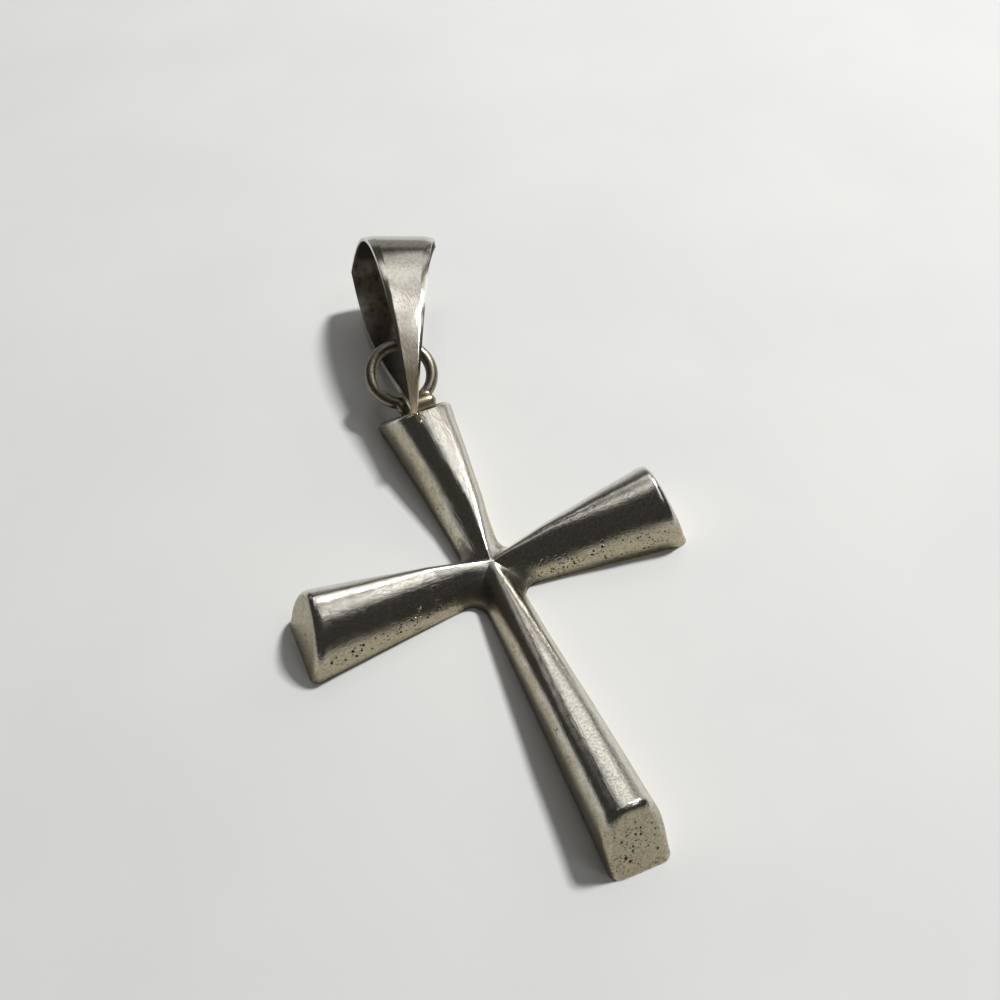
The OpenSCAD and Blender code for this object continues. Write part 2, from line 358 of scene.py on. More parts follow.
bead_start = NEAR_WIRE - (SOLDER_R, SOLDER_BACK, 0)
solder = new_piece("solder", *capsule(bead_start, SOLDER_LEN, SOLDER_R))

for other in (ring, solder):
    join = body.modifiers.new("join", "BOOLEAN")
    join.operation, join.solver, join.object = "UNION", "EXACT", other
apply_modifiers(body)
cross = body
cross.name = cross.data.name = "cast_cross"
for other in (ring, solder):
    bpy.data.objects.remove(other)
print("cross with ring and solder:", len(cross.data.polygons), "faces")

# %% [markdown]
# ## Let the solder flow, and wear the casting
# Four things happen to the joined skin. Points near the solder are averaged with their neighbours, which rounds
# the seams. The same is done more lightly along the ridges, which wear has rounded: a rounded ridge catches a
# light from many sides, and that is why the X in the middle of an old cross shines. Everything except the flat
# back sinks by a few hundredths of a millimetre of slow noise, because a casting finished by hand is never quite
# even, and this makes the highlights wander. Last, the larger gas pits are sunk: the skin is cut finer round
# each one, so that the pit is real and catches the light.

# %% Tools to read the points of a piece
BEAD = bead_start + np.array([SOLDER_LEN / 2, 0, 0])
BEAD_STRETCH = (0.6, 1, 1)                     # the bead is longer along X


def read_points(piece):
    """Places in mm and normals of all points, as two arrays."""
    count = len(piece.data.vertices)
    places, normals = np.empty(count * 3), np.empty(count * 3)
    piece.data.vertices.foreach_get("co", places)
    piece.data.vertices.foreach_get("normal", normals)
    return places.reshape(-1, 3) / MM, normals.reshape(-1, 3)


def along_and_across(places):
    """How far the points lie along each of the four arms, and how far to the left, seen from the crossing."""
    x, y, _ = places.T
    return [x, y, -x, -y], [y, -x, -y, x]


def past_ends(places):
    """How far each point lies beyond the slanting end face of the arm it belongs to, and which arm that is."""
    z = places[:, 2]
    gaps = np.stack([out - arm["length"] + arm["lean"] * z / END_H
                     for out, arm in zip(along_and_across(places)[0], ARMS)])
    return gaps.max(axis=0), gaps.argmax(axis=0)


def bead_distance(places):
    return np.linalg.norm((places - BEAD) * BEAD_STRETCH, axis=1)


def ridge_distance(places):
    """Sideways gap in mm between each point and the ridge line of its arm."""
    _, arm_of = past_ends(places)
    along_arm, across_arm = (np.choose(arm_of, rows) for rows in along_and_across(places))
    lengths, drifts = (np.array([arm[key] for arm in ARMS])[arm_of] for key in ("length", "drift"))
    return np.abs(across_arm - drifts * np.clip(along_arm / lengths / DRIFT_REACH, 0, 1))


# %% Smooth the solder's seams and the worn ridges
# In mm, but for the rounds: how far round the bead and how deep into the arm the melted metal reaches, and how
# wide, how far out and from which height on the ridges are rounded
SOLDER_REACH, SOLDER_DEPTH, SOLDER_ROUNDS = 1.15, 0.25, 10
RIDGE_REACH, RIDGE_LENGTH, RIDGE_FLOOR, RIDGE_ROUNDS = 0.16, 9.0, 1.5, 5


def even_out(piece, choose, rounds):
    """Average the chosen points with their neighbours, several times over."""
    mesh = bmesh.new()
    mesh.from_mesh(piece.data)
    mesh.verts.ensure_lookup_table()
    places = np.array([v.co for v in mesh.verts]) / MM
    chosen = [mesh.verts[k] for k in np.flatnonzero(choose(places))]
    for _ in range(rounds):
        bmesh.ops.smooth_vert(mesh, verts=chosen, factor=0.5, use_axis_x=True, use_axis_y=True, use_axis_z=True)
    mesh.to_mesh(piece.data)
    mesh.free()
    print(len(chosen), "points evened out")


def near_solder(places):
    return (bead_distance(places) < SOLDER_REACH) & (past_ends(places)[0] > -SOLDER_DEPTH)


def near_ridge(places):
    close = np.abs(places[:, :2]).max(axis=1) < RIDGE_LENGTH
    return (ridge_distance(places) < RIDGE_REACH) & (places[:, 2] > RIDGE_FLOOR) & close


even_out(cross, near_solder, SOLDER_ROUNDS)
even_out(cross, near_ridge, RIDGE_ROUNDS)

# %% Wander by slow noise, inward only
SLOW, FAST = (0.4, 0.022), (1.3, 0.007)        # waves per mm, depth in mm
BACK_FADE = 0.3                                # mm above the flat back over which the noise comes in


def wander_in(piece):
    places, normals = read_points(piece)
    depth = np.array([
        sum(d * (1 + noise.noise(Vector(p) * f)) for f, d in (SLOW, FAST)) for p in places
    ])
    share = np.clip(places[:, 2] / BACK_FADE, 0, 1)
    moved = places - normals * (depth * share)[:, None]
    piece.data.vertices.foreach_set("co", (moved * MM).ravel())
    piece.data.update()
    print(piece.name, "sinks by up to", round(depth.max(), 3), "mm")


wander_in(cross)

# %% Choose the places of the pits
# For each group: the arm, which side of its ridge (0 means the end face), the range along the arm (or across it,
# on an end face) and the range of heights, the number of pits, and the smallest and largest radius, all in mm
PIT_GROUPS = [
    ("left", 1, (3.5, 8.6), (1.0, 2.0), 30, 0.055, 0.13),
    ("left", 1, (8.0, 13.5), (0.8, 1.8), 20, 0.055, 0.14),
    ("right", -1, (2.8, 7.5), (0.5, 2.0), 34, 0.05, 0.11),
    ("right", -1, (7.5, 13.8), (0.7, 2.4), 24, 0.05, 0.12),
    ("top", 1, (3.5, 12.0), (0.6, 2.2), 18, 0.055, 0.11),
    ("top", -1, (4.0, 14.0), (0.5, 2.0), 13, 0.06, 0.12),
    ("bottom", -1, (4.0, 22.0), (0.4, 2.0), 9, 0.06, 0.11),
    ("bottom", 0, (-1.7, 1.7), (0.5, 4.0), 20, 0.06, 0.13),
    ("left", 0, (-2.6, 2.6), (0.4, 3.8), 3, 0.08, 0.15),
    ("right", 0, (-2.4, 2.4), (0.4, 3.6), 7, 0.07, 0.14),
    ("top", 0, (-2.2, -1.4), (0.6, 3.0), 3, 0.07, 0.12),
]
RIDGE_CLEAR, END_CLEAR = 0.4, 0.9              # pits in a flank keep off the ridge and off the rounded end
FACE_SKIN, RIM_CLEAR = 0.06, 0.5               # depth that counts as end face, and its rim without pits
FLANK_SPACING, FACE_SPACING = 0.12, 0.35
SEED = 11
random = np.random.default_rng(SEED)

places, normals = read_points(cross)
gap, arm_of = past_ends(places)
pits = []
for arm_name, side, (low, high), (bottom, top), count, small, large in PIT_GROUPS:
    quarter = [arm["name"] for arm in ARMS].index(arm_name)
    along_arm, across_arm = (rows[quarter] for rows in along_and_across(places))
    fits = (places[:, 2] > bottom) & (places[:, 2] < top) & (arm_of == quarter)
    if side:
        fits &= (along_arm > low) & (along_arm < high) & (across_arm * side > RIDGE_CLEAR) & (gap < -END_CLEAR)
    else:
        width = ARMS[quarter]["end_w"] / 2 - RIM_CLEAR
        fits &= (np.abs(gap) < FACE_SKIN) & (across_arm > low) & (across_arm < high)
        fits &= np.abs(across_arm) < width
    allowed = np.flatnonzero(fits)
    spacing, taken = (FLANK_SPACING if side else FACE_SPACING), []
    for k in random.permutation(allowed):
        if len(taken) < count and all(np.linalg.norm(places[k] - other) > spacing for other in taken):
            taken.append(places[k])
            size = small + (large - small) * random.random() ** 2
            pits.append((Vector(places[k]) * MM, Vector(normals[k]), size * MM))
print("pits:", len(pits))

# %% Sink the pits
PIT_CUTS, PIT_DEPTH = 2, 1.1                   # cuts per edge, depth as a share of the radius
PIT_CURVE, PIT_SHADE = 1.5, 2.5                # how its wall curves, and how soon its colour is full


def point_tree(mesh):
    """All points of a mesh, sorted so that those near a place are found fast."""
    mesh.verts.ensure_lookup_table()
    tree = kdtree.KDTree(len(mesh.verts))
    for v in mesh.verts:
        tree.insert(v.co, v.index)
    tree.balance()
    return tree


def sink_pits(piece, pits):
    """Cut the skin finer round every pit, then push a smooth hollow into it."""
    mesh = bmesh.new()
    mesh.from_mesh(piece.data)
    tree = point_tree(mesh)
    edges = set()
    for centre, _, radius in pits:
        for _, index, _ in tree.find_range(centre, radius + STEP * MM):
            edges.update(mesh.verts[index].link_edges)
    bmesh.ops.subdivide_edges(mesh, edges=list(edges), cuts=PIT_CUTS, use_grid_fill=True)
    tree = point_tree(mesh)
    inside = mesh.verts.layers.float.new("pit")
    for centre, normal, radius in pits:
        for place, index, distance in tree.find_range(centre, radius):
            share = (1 - (distance / radius) ** 2) ** PIT_CURVE
            point = mesh.verts[index]
            point.co = place - normal * (radius * PIT_DEPTH * share)
            point[inside] = max(point[inside], min(1.0, PIT_SHADE * share))
    mesh.to_mesh(piece.data)
    mesh.free()


sink_pits(cross, pits)
print("cross now has", len(cross.data.polygons), "faces")

# %% [markdown]
# ## The bail
# The bail is a strip of sheet, wide in the middle and narrow at both ends, folded over so that its two ends
# meet in a tip. Seen from the side it is a teardrop. Its curve is worked out by a formula, the width is laid
# off to both sides of it, and the strip's two long edges are bevelled, as a file leaves them.

# %% Sizes of the bail, in mm
# The loop: its length, its depth, and a number for how late it swells on the way to the fold
BAIL_LEN, BAIL_DEPTH, BAIL_ROUND = 21.2, 8.8, 1.4
# The strip: its width at the fold and at the tip, how late it widens, and how far its two edges are out of step
BAIL_W, BAIL_TIP_W, BAIL_LATE, BAIL_SLIP = 7.4, 0.5, 0.25, 1.6
# The sheet: its thickness, the length where both legs are one, and the width and depth of the bevels
SHEET, TIP_JOIN, BEVEL_W, BEVEL_D = 0.45, 1.2, 0.9, 0.14
BAIL_YAW, BAIL_ROLL, BAIL_PITCH = (math.radians(v) for v in (14.2, 10.4, -2.7))
BAIL_IN = 5.55                                 # from the top arm's end back to the tip
BAIL_TIP = Vector((-0.6, TOP_LEN - BAIL_IN, 5.45))
LEG_STEPS = 230
TURNS = 2 * LEG_STEPS
STRIP_COLUMNS = 32                             # points over each side of the sheet

# %% The teardrop curve and the width of the strip
def peak(m):
    """Largest value of s ** (m + 1) * c on the curve. Divided by it, the loop is as deep as asked."""
    return ((m + 1) / (m + 2)) ** ((m + 1) / 2) / math.sqrt(m + 2)


def teardrop(start, length, depth):
    """A closed curve: from the tip along the upper leg, round the fold, and back along the lower leg."""
    i = np.arange(TURNS)
    leg = np.radians(90 * np.minimum(i, TURNS - i) / LEG_STEPS)
    s, c = np.sin(leg), np.where(i <= LEG_STEPS, 1, -1) * np.cos(leg)
    out = start + length * s ** 2
    up = depth / 2 * s ** (BAIL_ROUND + 1) * c / peak(BAIL_ROUND)
    return np.stack([out, up], axis=1)


outside = teardrop(0, BAIL_LEN, BAIL_DEPTH)
inside = teardrop(TIP_JOIN, BAIL_LEN - SHEET - TIP_JOIN, BAIL_DEPTH - 2 * SHEET)
along = np.roll(outside, -1, axis=0) - np.roll(outside, 1, axis=0)
outward = np.stack([-along[:, 1], along[:, 0]], axis=1) / np.linalg.norm(along, axis=1, keepdims=True)
outward[0] = (-1, 0)
steps = np.linalg.norm(np.diff(np.vstack([outside, outside[:1]]), axis=0), axis=1)
run = np.concatenate([[0], np.cumsum(steps)])
print("strip:", round(run[-1], 1), "mm long round the outside")


def half_strip(side):
    """Half width of the strip at every step, for the left side (-1) or the right (1)."""
    widest = run[LEG_STEPS] - side * BAIL_SLIP
    share = np.where(run < widest, run / widest, (run[-1] - run) / (run[-1] - widest))[:-1]
    return BAIL_TIP_W / 2 + (BAIL_W - BAIL_TIP_W) / 2 * share * (1 - BAIL_LATE * (1 - share))


# %% [markdown]
# Thin sheet takes small dents when it is worn. Each one below is a shallow hollow that moves both sides of the
# sheet together, so the strip keeps its thickness. They lie on the upper leg, beyond the ring, mostly at the
# edges, where the highlights of the real piece break.

# %% Small dents from wear
# Distance along the strip from the tip, place across it, half length, half width and depth, all in mm
DENTS = [
    (11.1, -1.7, 1.0, 0.7, 0.06),
    (9.0, 1.5, 0.9, 0.6, 0.06),
    (14.5, 2.2, 2.2, 1.6, 0.03),
    (16.5, -2.2, 2.2, 1.6, 0.03),
]


def bell(distance, width):
    """1 at no distance, fading to nearly nothing at twice the width."""
    return np.exp(-(distance / width) ** 2)


def dented(k, x):
    """How deep the dents are at step k of the strip, x mm off its middle."""
    return sum(depth * bell(run[k] - at, length) * bell(x - side, width)
               for at, side, length, width, depth in DENTS)


print("dents:", len(DENTS), "up to", max(d[-1] for d in DENTS), "mm deep")

# %% Lay the section off along the curve
left_w, right_w = half_strip(-1), half_strip(1)
bail_rows = []
for k in range(TURNS):
    left, right = left_w[k], right_w[k]
    left_bevel, right_bevel = (BEVEL_W * 2 * w / BAIL_W for w in (left, right))
    flat = np.linspace(-left + left_bevel, right - right_bevel, STRIP_COLUMNS - 2)
    across = [(-left, BEVEL_D)] + [(x, 0) for x in flat] + [(right, BEVEL_D)]
    outer_row = [(x, *(outside[k] - (drop + dented(k, x)) * outward[k])) for x, drop in across]
    inner_row = [(x, *(inside[k] - dented(k, x) * outward[k])) for x in np.linspace(right, -left, STRIP_COLUMNS)]
    bail_rows += outer_row + inner_row
columns = 2 * STRIP_COLUMNS

# %% Turn the bail to where it lies
bail_turn = (
    Matrix.Rotation(-BAIL_YAW, 3, "Z")
    @ Matrix.Rotation(BAIL_PITCH, 3, "X")
    @ Matrix.Rotation(BAIL_ROLL, 3, "Y")
)
placed = np.array(bail_rows) @ np.array(bail_turn).T + np.array(BAIL_TIP)
bail = new_piece("folded_bail", placed, strip_faces(TURNS, columns, closed_rows=True))
print("bail:", len(placed), "points")

# %% [markdown]
# ## Crisp edges
# Smooth shading would blur the feet of the cross, the edges of the end faces and the cut edges of the sheet.
# Every edge that turns by more than 35 degrees is marked sharp, and the rest stays smooth.

# %% Mark the sharp edges and face outward
SHARP_ANGLE = math.radians(35)
SAME_PLACE = 1e-7                              # points closer than this, in m, are one point


def finish_mesh(piece):
    mesh = bmesh.new()
    mesh.from_mesh(piece.data)
    bmesh.ops.remove_doubles(mesh, verts=mesh.verts, dist=SAME_PLACE)
    bmesh.ops.recalc_face_normals(mesh, faces=mesh.faces)
    for edge in mesh.edges:
        edge.smooth = len(edge.link_faces) == 2 and edge.calc_face_angle(0) < SHARP_ANGLE
    for face in mesh.faces:
        face.smooth = True
    open_edges = sum(not e.is_manifold for e in mesh.edges)
    volume = mesh.calc_volume() / MM ** 3
    mesh.to_mesh(piece.data)
    mesh.free()
    print(piece.name, "open edges", open_edges, "volume", round(volume, 1), "cubic mm")


finish_mesh(cross)
finish_mesh(bail)

# %% [markdown]
# ## Where the silver is rubbed, sheltered, sawn or soldered
# Old silver is bright where hands and cloth reach it, and brown where they do not. The places follow from the
# shape, so they are worked out from the mesh and stored on its points, where a material can read them. Nothing
# here depends on the camera.

# %% Mark the places on the cross
MARK_FADE = 0.1                                # mm over which the marks of end faces and ring fade
FACE_FULL = 1.35                               # above 1, so that an end face is marked up to its rim
OFF_BACK = 0.05                                # mm above the flat back, where the sawn mark begins
RING_START = 0.15                              # mm beyond the top end face, where the ring's mark begins
SOLDER_EDGE = 1.4                              # mm from the bead, where the solder's mark ends
ARM_SEAM = 0.5                                 # half marked where long and short arms meet
SHINE_W, SHINE_REACH = 0.2, 9.0                # mm: width of the bright ridges, reach from the crossing
SHINE_FLOOR, SHINE_FADE = 1.8, 0.4             # mm: height at which the brightness sets in, and over how much


def mark(piece, name, values):
    """Store one number between 0 and 1 on every point, for a material to read."""
    layer = piece.data.attributes.new(name, "FLOAT", "POINT")
    layer.data.foreach_set("value", np.clip(values, 0, 1).astype(np.float32))


spots, _ = read_points(cross)
x, y, z = spots.T
gap, _ = past_ends(spots)
mark(cross, "sawn", (FACE_FULL - np.abs(gap) / MARK_FADE) * (z > OFF_BACK))
mark(cross, "ring", (y - TOP_LEN + TOP_LEAN * z / END_H - RING_START) / MARK_FADE)
mark(cross, "solder", SOLDER_EDGE - bead_distance(spots))
mark(cross, "long_arm", np.abs(y) - np.abs(x) + ARM_SEAM)
high_up = np.clip((z - SHINE_FLOOR) / SHINE_FADE, 0, 1)
mark(cross, "ridge", bell(ridge_distance(spots), SHINE_W) * high_up * bell(np.hypot(x, y), SHINE_REACH))
print("points on the end faces:", int((np.abs(gap) < MARK_FADE).sum()))

# %% Mark the corners where tarnish stays
# For each inner corner: its side along X, its side along Y, and how much tarnish it keeps
SHELTER = [(-1, 1, 1.0), (-1, -1, 1.0), (1, -1, 0.7), (1, 1, 0.55)]
# In mm: where a corner lies along X and Y, how far its tarnish reaches, up to what height, and over how much it fades
CORNER_AT, CORNER_REACH, CORNER_TOP, CORNER_FADE = 1.75, 1.9, 2.4, 0.7
# The end face that the ring shelters: its tarnish and reach, and from which y and z on, in mm
RING_STAIN, RING_REACH, RING_STAIN_Y, RING_STAIN_Z = 1.2, 0.15, 10, 0.1

sheltered = np.zeros(len(x))
for side_x, side_y, kept in SHELTER:
    corner_gap = np.hypot(x * side_x - CORNER_AT, y * side_y - CORNER_AT)
    sheltered += kept * bell(corner_gap, CORNER_REACH) * np.clip((CORNER_TOP - z) / CORNER_FADE, 0, 1)
sheltered += RING_STAIN * bell(gap, RING_REACH) * (y > RING_STAIN_Y) * (z > RING_STAIN_Z)
mark(cross, "sheltered", sheltered)
print("sheltered points:", int((sheltered > 0.5).sum()))

# %% [markdown]
# ## The finish of the casting
# One material covers the whole casting, because it is one piece of metal. Its colour goes from polished silver
# to a warm brown tarnish by how steep the surface is, broken up by noise. The steep lower walls were never
# polished: they are dull, grainy and full of small pits. The ridges carry fine scratches along the arms.

# %% Small tool for material nodes
def new_finish(name):
    """A new material, its main shader, and a function that adds a node and joins or sets its inputs."""
    made = bpy.data.materials.new(name)
    made.use_nodes = True
    tree = made.node_tree

    def add(kind, inputs=None, **settings):
        node = tree.nodes.new(kind)
        for key, value in settings.items():
            setattr(node, key, value)
        for key, value in (inputs or {}).items():
            if isinstance(value, bpy.types.NodeSocket):
                tree.links.new(value, node.inputs[key])
            else:
                node.inputs[key].default_value = value
        return node

    return made, tree.nodes["Principled BSDF"], add


def common_nodes(add):
    """Place in millimetres, up part of the normal, and shorthand for sums and ramps."""
    place = add("ShaderNodeVectorMath", {0: add("ShaderNodeTexCoord").outputs["Object"], "Scale": 1 / MM},
                operation="SCALE").outputs[0]
    facing = add("ShaderNodeSeparateXYZ", {0: add("ShaderNodeNewGeometry").outputs["Normal"]}).outputs

    def sum_up(kind, a, b, c=0.0):
        return add("ShaderNodeMath", {0: a, 1: b, 2: c}, operation=kind).outputs[0]

    def ramp(value, low, high, to_low=0.0, to_high=1.0):
        return add("ShaderNodeMapRange", {"Value": value, "From Min": low, "From Max": high, "To Min": to_low,
                                          "To Max": to_high}, interpolation_type="SMOOTHSTEP").outputs[0]

    def cloud(scale, detail=3.0, stretch=(1, 1, 1), rough=0.5):
        moved = add("ShaderNodeVectorMath", {0: place, 1: stretch}, operation="MULTIPLY").outputs[0]
        return add("ShaderNodeTexNoise", {"Vector": moved, "Scale": scale, "Detail": detail,
                                          "Roughness": rough}).outputs["Fac"]

    def blend(share, a, b):
        # The colour inputs of this node are 6 and 7, and its colour output is 2
        node = add("ShaderNodeMix", data_type="RGBA")
        for socket, value in ((0, share), (6, a), (7, b)):
            if isinstance(value, bpy.types.NodeSocket):
                node.id_data.links.new(value, node.inputs[socket])
            else:
                node.inputs[socket].default_value = (*value, 1) if socket else value
        return node.outputs[2]

    def spot(name):
        return add("ShaderNodeAttribute", attribute_name=name).outputs["Fac"]

    return place, facing, sum_up, ramp, cloud, blend, spot


def cover(piece, finish, colour, roughness, relief, depth):
    """Join a metal's colour, roughness and relief (depth in mm) to its shader, and give it to a piece."""
    made, shader, add = finish
    bump = add("ShaderNodeBump", {"Height": relief, "Strength": 1.0, "Distance": depth * MM})
    for socket, value in (("Base Color", colour), ("Roughness", roughness), ("Normal", bump.outputs[0])):
        made.node_tree.links.new(value, shader.inputs[socket])
    shader.inputs["Metallic"].default_value = 1
    piece.data.materials.clear()
    piece.data.materials.append(made)
    print(made.name, "has", len(made.node_tree.nodes), "nodes")


# %% Aged cast silver: rubbed, sheltered and pitted places
POLISHED = (0.79, 0.755, 0.665)
BRIGHT = (0.90, 0.88, 0.82)
DULLED = (0.50, 0.44, 0.315)
DEEP_TARNISH = (0.10, 0.085, 0.06)
SOLDER_BROWN = (0.36, 0.30, 0.19)
PIT_BLACK = (0.02, 0.017, 0.012)

cast = new_finish("aged_cast_silver")
_, _, add = cast
place, facing, sum_up, ramp, cloud, blend, spot = common_nodes(add)
wander = cloud(0.9, 5)
rubbed = ramp(sum_up("MULTIPLY_ADD", wander, 0.35, facing[2]), 0.48, 0.85)
sawn, ringed, soldered, shelter = spot("sawn"), spot("ring"), spot("solder"), spot("sheltered")
rubbed = sum_up("MULTIPLY", rubbed, sum_up("MULTIPLY_ADD", ringed, -0.7, 1.0))
rubbed = sum_up("MULTIPLY", rubbed, sum_up("SUBTRACT", 1.0, sawn))
stain = ramp(sum_up("MULTIPLY_ADD", cloud(1.8, 7, rough=0.72), 1.4, shelter), 1.0, 1.5)

# Small pits: dots of a cell pattern, kept where a slow noise lets them gather, mostly on the dull walls
dots = add("ShaderNodeTexVoronoi", {"Vector": place, "Scale": 4.2, "Randomness": 1.0})
gathered = ramp(sum_up("SUBTRACT", cloud(0.55, 2), sum_up("MULTIPLY", rubbed, 0.22)), 0.50, 0.62)
dot = sum_up("MULTIPLY", ramp(dots.outputs["Distance"], 0.14, 0.30, 1.0, 0.0), gathered)

# %% Aged cast silver: its colour
colour = blend(rubbed, DULLED, POLISHED)
colour = blend(sum_up("MULTIPLY", spot("ridge"), 0.8), colour, BRIGHT)
mottle = ramp(cloud(5.0, 6, rough=0.75), 0.45, 0.70)
colour = blend(sum_up("MULTIPLY", mottle, sum_up("MULTIPLY_ADD", rubbed, -0.35, 0.75)), colour, DEEP_TARNISH)
speckle = ramp(cloud(9.0, 4, rough=0.7), 0.48, 0.62)
colour = blend(sum_up("MULTIPLY", speckle, 0.26), colour, DEEP_TARNISH)
colour = blend(sum_up("MULTIPLY", ringed, 0.45), colour, DEEP_TARNISH)
colour = blend(sum_up("MULTIPLY", stain, 0.8), colour, DEEP_TARNISH)
colour = blend(sum_up("MULTIPLY", ramp(soldered, 0.1, 0.8), 0.7), colour, SOLDER_BROWN)
dark_pit = sum_up("MAXIMUM", sum_up("MULTIPLY", dot, 0.85), sum_up("MULTIPLY", spot("pit"), 0.9))
colour = blend(dark_pit, colour, PIT_BLACK)

# %% Aged cast silver: its scratches and grain
grain = cloud(7.0, 5, rough=0.75)
scratch_x = cloud(1.0, 3, stretch=(0.6, 9, 9), rough=0.6)
scratch_y = cloud(1.0, 3, stretch=(9, 0.6, 9), rough=0.6)
scratch = add("ShaderNodeMix", {0: spot("long_arm"), 2: scratch_x, 3: scratch_y}, data_type="FLOAT").outputs[0]
striation = cloud(1.0, 2, stretch=(14, 14, 0.8))
roughness = sum_up("MULTIPLY_ADD", sum_up("SUBTRACT", 1.0, rubbed), 0.07, 0.09)
roughness = sum_up("MULTIPLY_ADD", sum_up("MAXIMUM", sawn, ringed), 0.16, roughness)
roughness = sum_up("MULTIPLY_ADD", grain, 0.10, roughness)
roughness = sum_up("MULTIPLY_ADD", stain, 0.25, roughness)

relief = sum_up("MULTIPLY", grain, sum_up("MULTIPLY_ADD", rubbed, -0.35, 1.0))
relief = sum_up("MULTIPLY_ADD", scratch, sum_up("MULTIPLY", rubbed, 0.9), relief)
relief = sum_up("MULTIPLY_ADD", striation, sum_up("MULTIPLY", sawn, 0.7), relief)
relief = sum_up("MULTIPLY_ADD", dot, -3.0, relief)
cover(cross, cast, colour, roughness, relief, depth=0.014)

# %% [markdown]
# ## The finish of the sheet
# The bail was cut from sheet and never polished much. Its outside is a soft satin with fine lines along the
# strip, browner towards the tip, where the solder ran, and along the fold, where it is tarnished. Its inside is
# painted nearly black as painted shade inside the loop, less so on the lower leg near the fold, where the loop
# opens. The same sheet, seen from both sides, needs to know which side is which: the mesh stores that too.

# %% Mark the inside and the bevels of the bail
# The cut edges of the inside get a share of its painted shade
CUT_EDGE_SHADE = 0.3                                 # how dark the cut edges are, as a share of the inside
TIP_REACH, FOLD_REACH = 11.0, 1.2              # mm over which the tip's and the fold's brown fade
# In mm from the tip, and below the middle of the loop: where the painted shade on the lower leg's inside starts to
# lift
OPEN_START, OPEN_FADE, OPEN_DEPTH = 12, 6, 1.5


def over_width(values):
    """One value per step, repeated over the whole width of the strip."""
    return np.repeat(values, columns)


bevel_mark, inner_mark = np.zeros((2, TURNS, columns))
bevel_mark[:, (0, STRIP_COLUMNS - 1)] = 1
inner_mark[:, STRIP_COLUMNS:] = 1
inner_mark[:, (STRIP_COLUMNS, -1)] = CUT_EDGE_SHADE
out, up = outside.T
# The inside mark carries the painted shade of the loop's inside, and the open mark says where it lifts
mark(bail, "inside", inner_mark.ravel())
mark(bail, "bevel", bevel_mark.ravel())
mark(bail, "tip", over_width(1 - out / TIP_REACH))
mark(bail, "open", over_width(np.clip((out - OPEN_START) / OPEN_FADE, 0, 1) * np.clip(-up / OPEN_DEPTH, 0, 1)))
mark(bail, "fold", over_width(bell(BAIL_LEN - out, FOLD_REACH)))
print("inside points of the bail:", int((inner_mark == 1).sum()))

# %% Satin sheet silver
SATIN = (0.60, 0.57, 0.50)
WARM = (0.25, 0.205, 0.13)
# Painted shade for the inside of the loop: nearly black, and lighter where the loop opens near the fold
INSIDE_SHADE, INSIDE_SHADE_OPEN = (0.065, 0.055, 0.046), (0.42, 0.375, 0.30)

sheet = new_finish("satin_sheet_silver")
_, _, add = sheet
_, _, sum_up, ramp, cloud, blend, spot = common_nodes(add)
inner, bevel, tip = spot("inside"), spot("bevel"), spot("tip")
blotch = cloud(0.7, 5)
colour = blend(ramp(sum_up("MULTIPLY_ADD", blotch, 0.6, tip), 0.45, 1.1), SATIN, WARM)
colour = blend(ramp(cloud(3.5, 4), 0.4, 0.75, 0.0, 0.25), colour, DEEP_TARNISH)
colour = blend(sum_up("MULTIPLY", spot("fold"), 0.7), colour, WARM)
# Painted shade on the inside of the loop, lifted in patches on the lower leg near the fold, where the loop opens
opened = sum_up("MULTIPLY", spot("open"), ramp(cloud(1.2, 4), 0.2, 0.6))
painted_inside_shade = blend(opened, INSIDE_SHADE, INSIDE_SHADE_OPEN)
colour = blend(sum_up("MULTIPLY", inner, 0.93), colour, painted_inside_shade)
colour = blend(sum_up("MULTIPLY", bevel, 0.7), colour, POLISHED)
lines = cloud(1.0, 3, stretch=(10, 0.5, 3))
fine = cloud(10.0, 3)
roughness = sum_up("MULTIPLY_ADD", fine, 0.08, 0.12)
roughness = sum_up("MULTIPLY_ADD", inner, 0.25, roughness)
roughness = sum_up("MULTIPLY_ADD", spot("fold"), 0.16, roughness)
relief = sum_up("MULTIPLY_ADD", lines, 1.0, sum_up("MULTIPLY", fine, 0.3))
cover(bail, sheet, colour, roughness, relief, depth=0.007)

# %% [markdown]
# ## Table and light
# The table is a plain pale sheet. Silver shows what is around it, so the light decides how it looks. One small,
# strong light high on the right throws the dark shadows to the left. All the other panels are weak and large,
# and are there to be mirrored: one on the right makes the white band on the left arm, those behind the top arm
# draw the ridges and the face of the bail, and two low walls grey the far flanks and the fold of the bail. The
# room behind the camera stays dark, which gives the deep brown flanks, and the pale table fills the low walls.

# %% Table
TABLE_HALF = 0.4                               # m
TABLE_DROP = 0.00002                           # m, so that table and flat back don't share one plane
PAPER_DARK, PAPER_PALE, PAPER_ROUGH = (0.80, 0.805, 0.79), (0.83, 0.83, 0.81), 0.7

corners = [(x * TABLE_HALF, y * TABLE_HALF, 0) for x, y in ((-1, -1), (1, -1), (1, 1), (-1, 1))]
table_mesh = bpy.data.meshes.new("table_top")
table_mesh.from_pydata(corners, [], [(0, 1, 2, 3)])
table = bpy.data.objects.new("table_top", table_mesh)
table.location.z = -TABLE_DROP
bpy.context.scene.collection.objects.link(table)
paper, shader, add = new_finish("pale_table")
_, _, _, ramp, cloud, blend, _ = common_nodes(add)
colour = blend(ramp(cloud(0.05, 3), 0.3, 0.7), PAPER_DARK, PAPER_PALE)
paper.node_tree.links.new(colour, shader.inputs["Base Color"])
shader.inputs["Roughness"].default_value = PAPER_ROUGH
table_mesh.materials.append(paper)

# %% Soft lights
PANEL_DISTANCE = 0.6                           # m from the crossing


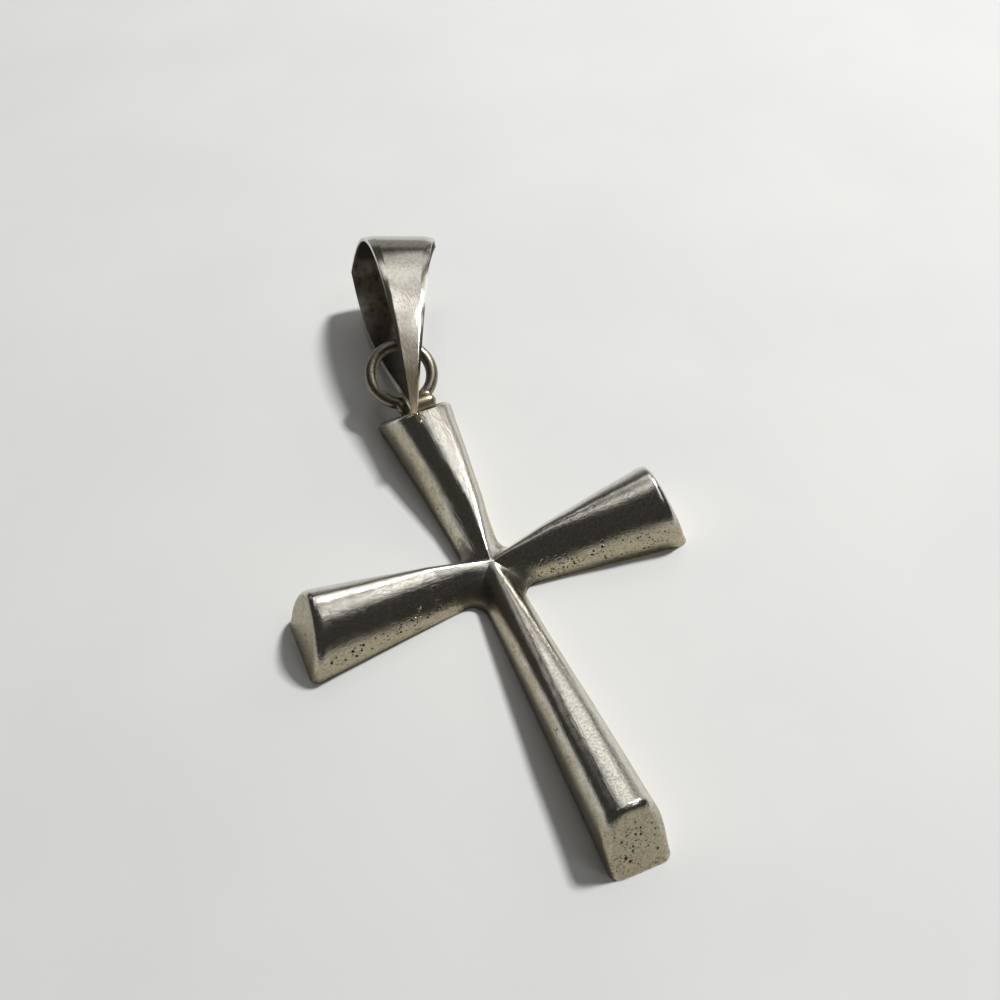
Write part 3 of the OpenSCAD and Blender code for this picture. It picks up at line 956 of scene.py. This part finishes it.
def soft_light(name, azimuth, elevation, half_width, half_height, brightness, roll=0):
    """A rectangular panel facing the cross: where it stands, half its size as seen from there, its brightness.

    All angles are in degrees. Azimuth is 0 towards +Y and 90 towards +X.
    """
    a, e = math.radians(azimuth), math.radians(elevation)
    towards = Vector((math.sin(a) * math.cos(e), math.cos(a) * math.cos(e), math.sin(e)))
    panel = bpy.data.lights.new(name, "AREA")
    panel.shape = "RECTANGLE"
    panel.size = 2 * PANEL_DISTANCE * math.tan(math.radians(half_width))
    panel.size_y = 2 * PANEL_DISTANCE * math.tan(math.radians(half_height))
    panel.energy = brightness * math.pi * panel.size * panel.size_y
    light = bpy.data.objects.new(name, panel)
    sideways = Vector((math.cos(a), -math.sin(a), 0))
    upwards = sideways.cross(-towards)
    turn = Matrix((sideways, upwards, towards)).transposed().to_4x4()
    rolled = Matrix.Rotation(math.radians(roll), 4, "Z")
    light.matrix_world = Matrix.Translation(towards * PANEL_DISTANCE) @ turn @ rolled
    light.visible_camera = False
    bpy.context.scene.collection.objects.link(light)


soft_light("key_light", 72, 54, 3.5, 3.5, 176.0)
soft_light("left_arm_panel", 126, 56, 12, 5, 2.2, roll=42)
soft_light("top_arm_panel", 29, 64, 9, 4, 1.85, roll=25)
soft_light("sky_panel", 22, 49, 13, 7, 1.15)
soft_light("low_sky", 35, 34, 9, 8, 0.75)
soft_light("sky_edge", 58, 65, 6, 6, 0.6)
soft_light("bevel_panel", 66, 34, 10, 5, 1.4)
soft_light("ceiling", 20, 85, 7, 7, 1.2)
soft_light("ceiling_edge", -152, 79, 3, 3, 0.45)
soft_light("left_fill", -22, 35, 11, 8, 0.42, roll=-20)
soft_light("back_wall", 56, 8, 20, 12, 0.5)
soft_light("far_wall", 17, 8, 14, 11, 0.27)
print("soft lights:", len(bpy.data.lights))

# %% The room, and what the camera sees behind the table
ROOM_DARK = (0.042, 0.040, 0.037, 1)
BACKDROP = (0.74, 0.74, 0.73, 1)

world = bpy.data.worlds.new("room")
bpy.context.scene.world = world
world.use_nodes = True
room = world.node_tree.nodes
room["Background"].inputs["Color"].default_value = ROOM_DARK
seen = room.new("ShaderNodeBackground")
seen.inputs["Color"].default_value = BACKDROP
choose = room.new("ShaderNodeMixShader")
world.node_tree.links.new(room.new("ShaderNodeLightPath").outputs["Is Camera Ray"], choose.inputs[0])
world.node_tree.links.new(room["Background"].outputs[0], choose.inputs[1])
world.node_tree.links.new(seen.outputs[0], choose.inputs[2])
world.node_tree.links.new(choose.outputs[0], room["World Output"].inputs["Surface"])

view = bpy.context.scene.view_settings
view.view_transform, view.look, view.exposure = "Standard", "None", 0.0

# %% [markdown]
# ## Hand the pieces to the frame
# Each finished mesh stands for its solid node and rides on the one body.

# %% Attach the pieces and hide the solid nodes
for piece, node, slot in ((cross, "cross", "cast_silver"), (bail, "bail", "sheet_silver")):
    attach(piece, "root")
    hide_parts(node)
